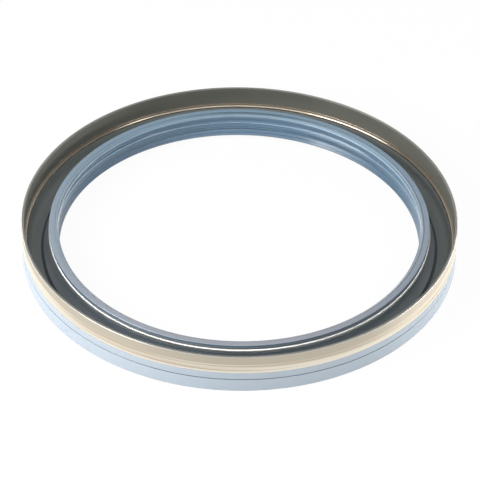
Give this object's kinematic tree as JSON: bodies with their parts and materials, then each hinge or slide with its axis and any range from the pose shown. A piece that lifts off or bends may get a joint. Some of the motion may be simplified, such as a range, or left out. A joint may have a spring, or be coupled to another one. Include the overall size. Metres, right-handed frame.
{
  "type": "wheel hub oil seal",
  "caption": "Rotary shaft lip seal for a wheel hub: stamped steel case with a bare metal rim, blue rubber cover, sealing lip, dust lip and garter spring.",
  "frame": {"origin": "centre of the air-side face, on the seal's axis, where the seal rests", "axes": "+Z along the shaft axis towards the oil side, which has the rim and the spring; +X and +Y are radial"},
  "size_m": [0.19, 0.19, 0.0186],
  "materials": {
    "lacquered_steel": "satin",
    "blue_rubber": "satin",
    "spring_steel": "bright"
  },
  "bodies": {
    "root": {"steel_case": "lacquered_steel", "rubber_seal": "blue_rubber", "garter_spring": "spring_steel"}
  },
  "joints": []
}
